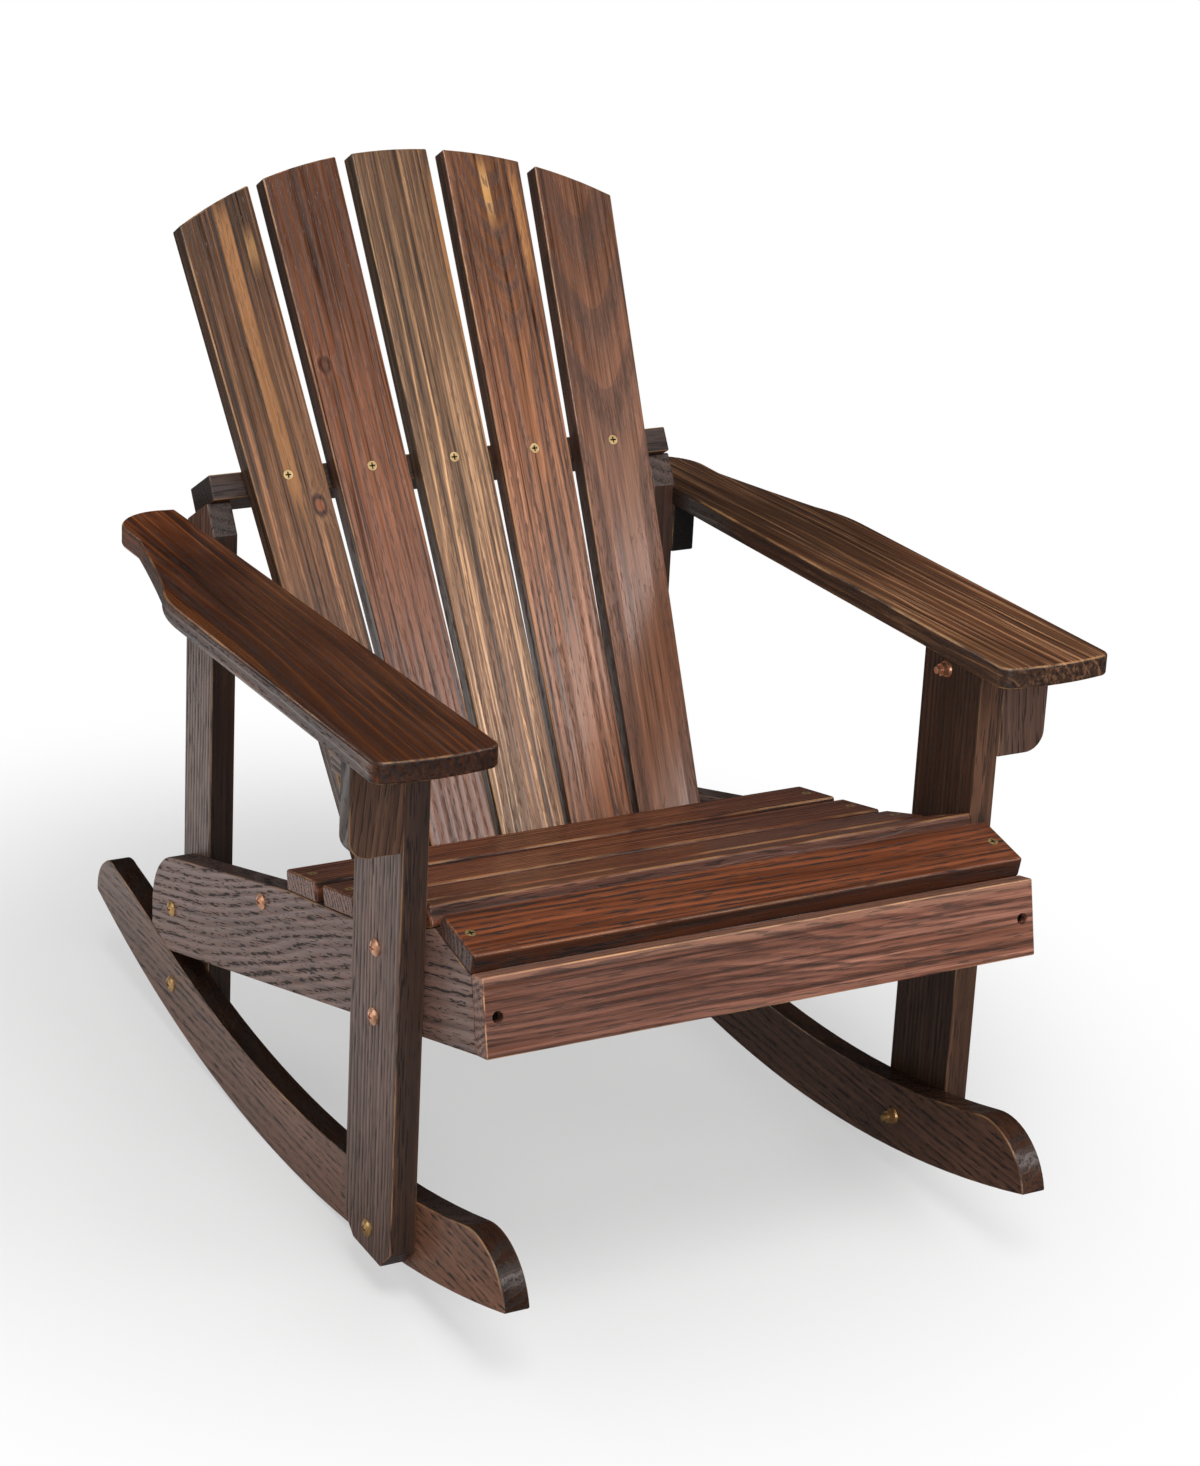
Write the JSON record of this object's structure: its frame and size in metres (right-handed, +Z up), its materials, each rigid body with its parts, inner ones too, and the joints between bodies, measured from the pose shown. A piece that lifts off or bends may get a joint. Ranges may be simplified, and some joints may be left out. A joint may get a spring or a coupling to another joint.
{
  "type": "rocking chair",
  "caption": "Small wooden rocking chair with a slatted contoured seat, a reclined fan back with an arched top, wide flat armrests and curved rockers.",
  "frame": {"origin": "on the floor under the middle of the chair, at rest", "axes": "+Z up, the sitter faces -Y, +X to the left hand of the sitter"},
  "size_m": [0.5284, 0.6567, 0.6128],
  "materials": {
    "seat_slats": "satin",
    "back_slats": "satin",
    "armrests": "satin",
    "front_apron": "satin",
    "legs": "satin",
    "seat_rails": "satin",
    "rockers": "satin",
    "battens": "satin",
    "zinc_bolts": "satin",
    "brass_screws": "satin"
  },
  "bodies": {
    "root": {"apron_screws": "brass_screws", "arm_screws": "brass_screws", "back_lower_screws": "brass_screws", "back_screws": "brass_screws", "back_slat_1": "back_slats", "back_slat_2": "back_slats", "back_slat_3": "back_slats", "back_slat_4": "back_slats", "back_slat_5": "back_slats", "crossbar_screws": "brass_screws", "crosspiece_bolts": "zinc_bolts", "flange_nuts": "zinc_bolts", "frame_bolts": "zinc_bolts", "front_apron": "front_apron", "front_seat_slat": "seat_slats", "left_arm_bracket": "battens", "left_armrest": "armrests", "left_front_arm_cleat": "battens", "left_front_leg": "legs", "left_rear_arm_cleat": "battens", "left_rear_leg": "legs", "left_rocker": "rockers", "left_seat_rail": "seat_rails", "lower_crosspiece": "battens", "right_arm_bracket": "battens", "right_armrest": "armrests", "right_front_arm_cleat": "battens", "right_front_leg": "legs", "right_rear_arm_cleat": "battens", "right_rear_leg": "legs", "right_rocker": "rockers", "right_seat_rail": "seat_rails", "seat_screws": "brass_screws", "seat_slat_1": "seat_slats", "seat_slat_2": "seat_slats", "seat_slat_3": "seat_slats", "seat_slat_4": "seat_slats", "upper_crossbar": "battens"}
  },
  "joints": []
}
